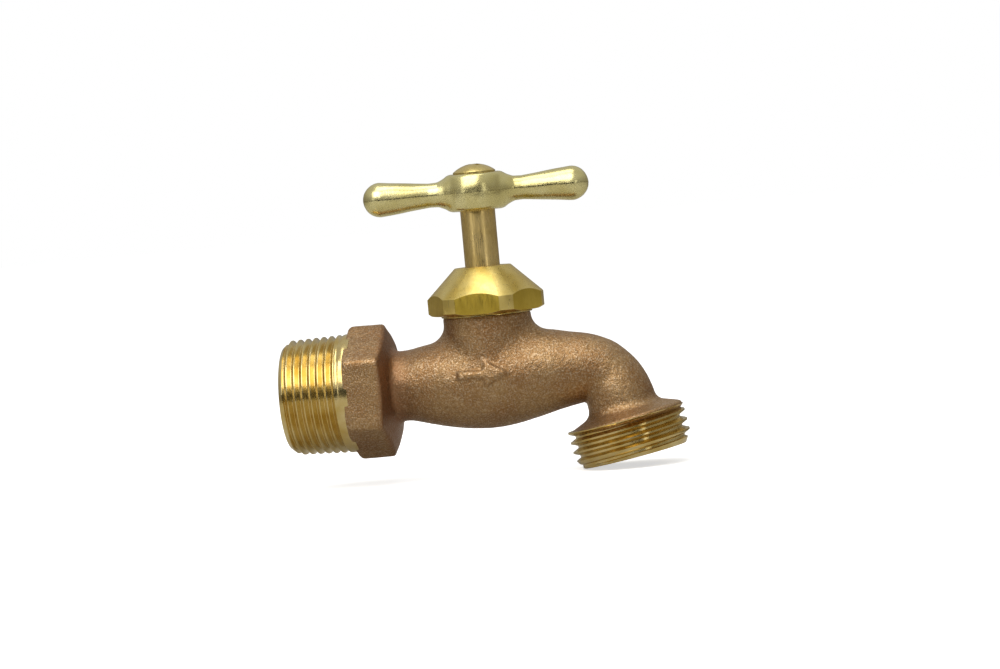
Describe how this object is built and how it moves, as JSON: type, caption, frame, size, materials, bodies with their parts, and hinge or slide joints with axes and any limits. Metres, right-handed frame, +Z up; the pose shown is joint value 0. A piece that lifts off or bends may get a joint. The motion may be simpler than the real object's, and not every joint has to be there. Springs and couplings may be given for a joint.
{
  "type": "hose bib",
  "caption": "Bent-nose garden hose valve: threaded pipe inlet with wrench hexagon, cast belly with seat, packing nut, rising stem with tee handle, and bent spout ending in a hose thread.",
  "frame": {"origin": "centre of the pipe inlet's end face, where the inlet's axis meets it", "axes": "+X from the inlet to the outlet along the pipe thread's axis, +Z up along the valve stem"},
  "size_m": [0.0908, 0.0268, 0.0704],
  "materials": {
    "cast_bronze": "sand-cast bronze, fine grainy surface; machined threads",
    "yellow_brass": "machined yellow brass, satin",
    "pale_brass": "tumbled die-cast brass, soft gloss",
    "stem_brass": "turned brass with fine lathe marks",
    "graphite_packing": "matt graphited packing",
    "black_rubber": "matt rubber"
  },
  "bodies": {
    "valve_body": {"body_casting": "cast_bronze", "packing_nut": "yellow_brass", "gland_ring": "yellow_brass", "packing_ring": "graphite_packing", "packing_washer": "yellow_brass"},
    "rising_washer": {"seat_washer": "black_rubber"},
    "turning_stem": {"stem": "stem_brass", "washer_screw": "yellow_brass", "tee_handle": "pale_brass", "handle_screw": "yellow_brass"}
  },
  "joints": [
    {"name": "stem_lift", "type": "slide", "parent": "valve_body", "child": "rising_washer", "axis": [0, 0, 1], "range_m": [0, 0.00508]},
    {"name": "handle_turn", "type": "hinge", "parent": "rising_washer", "child": "turning_stem", "pos_m": [0.0471, 0, 0.0431], "axis": [0, 0, 1], "range_deg": [0, 720]}
  ],
  "couplings": [
    {"joint": "stem_lift", "follows": "handle_turn", "m_per_rad": 0.00040425}
  ]
}
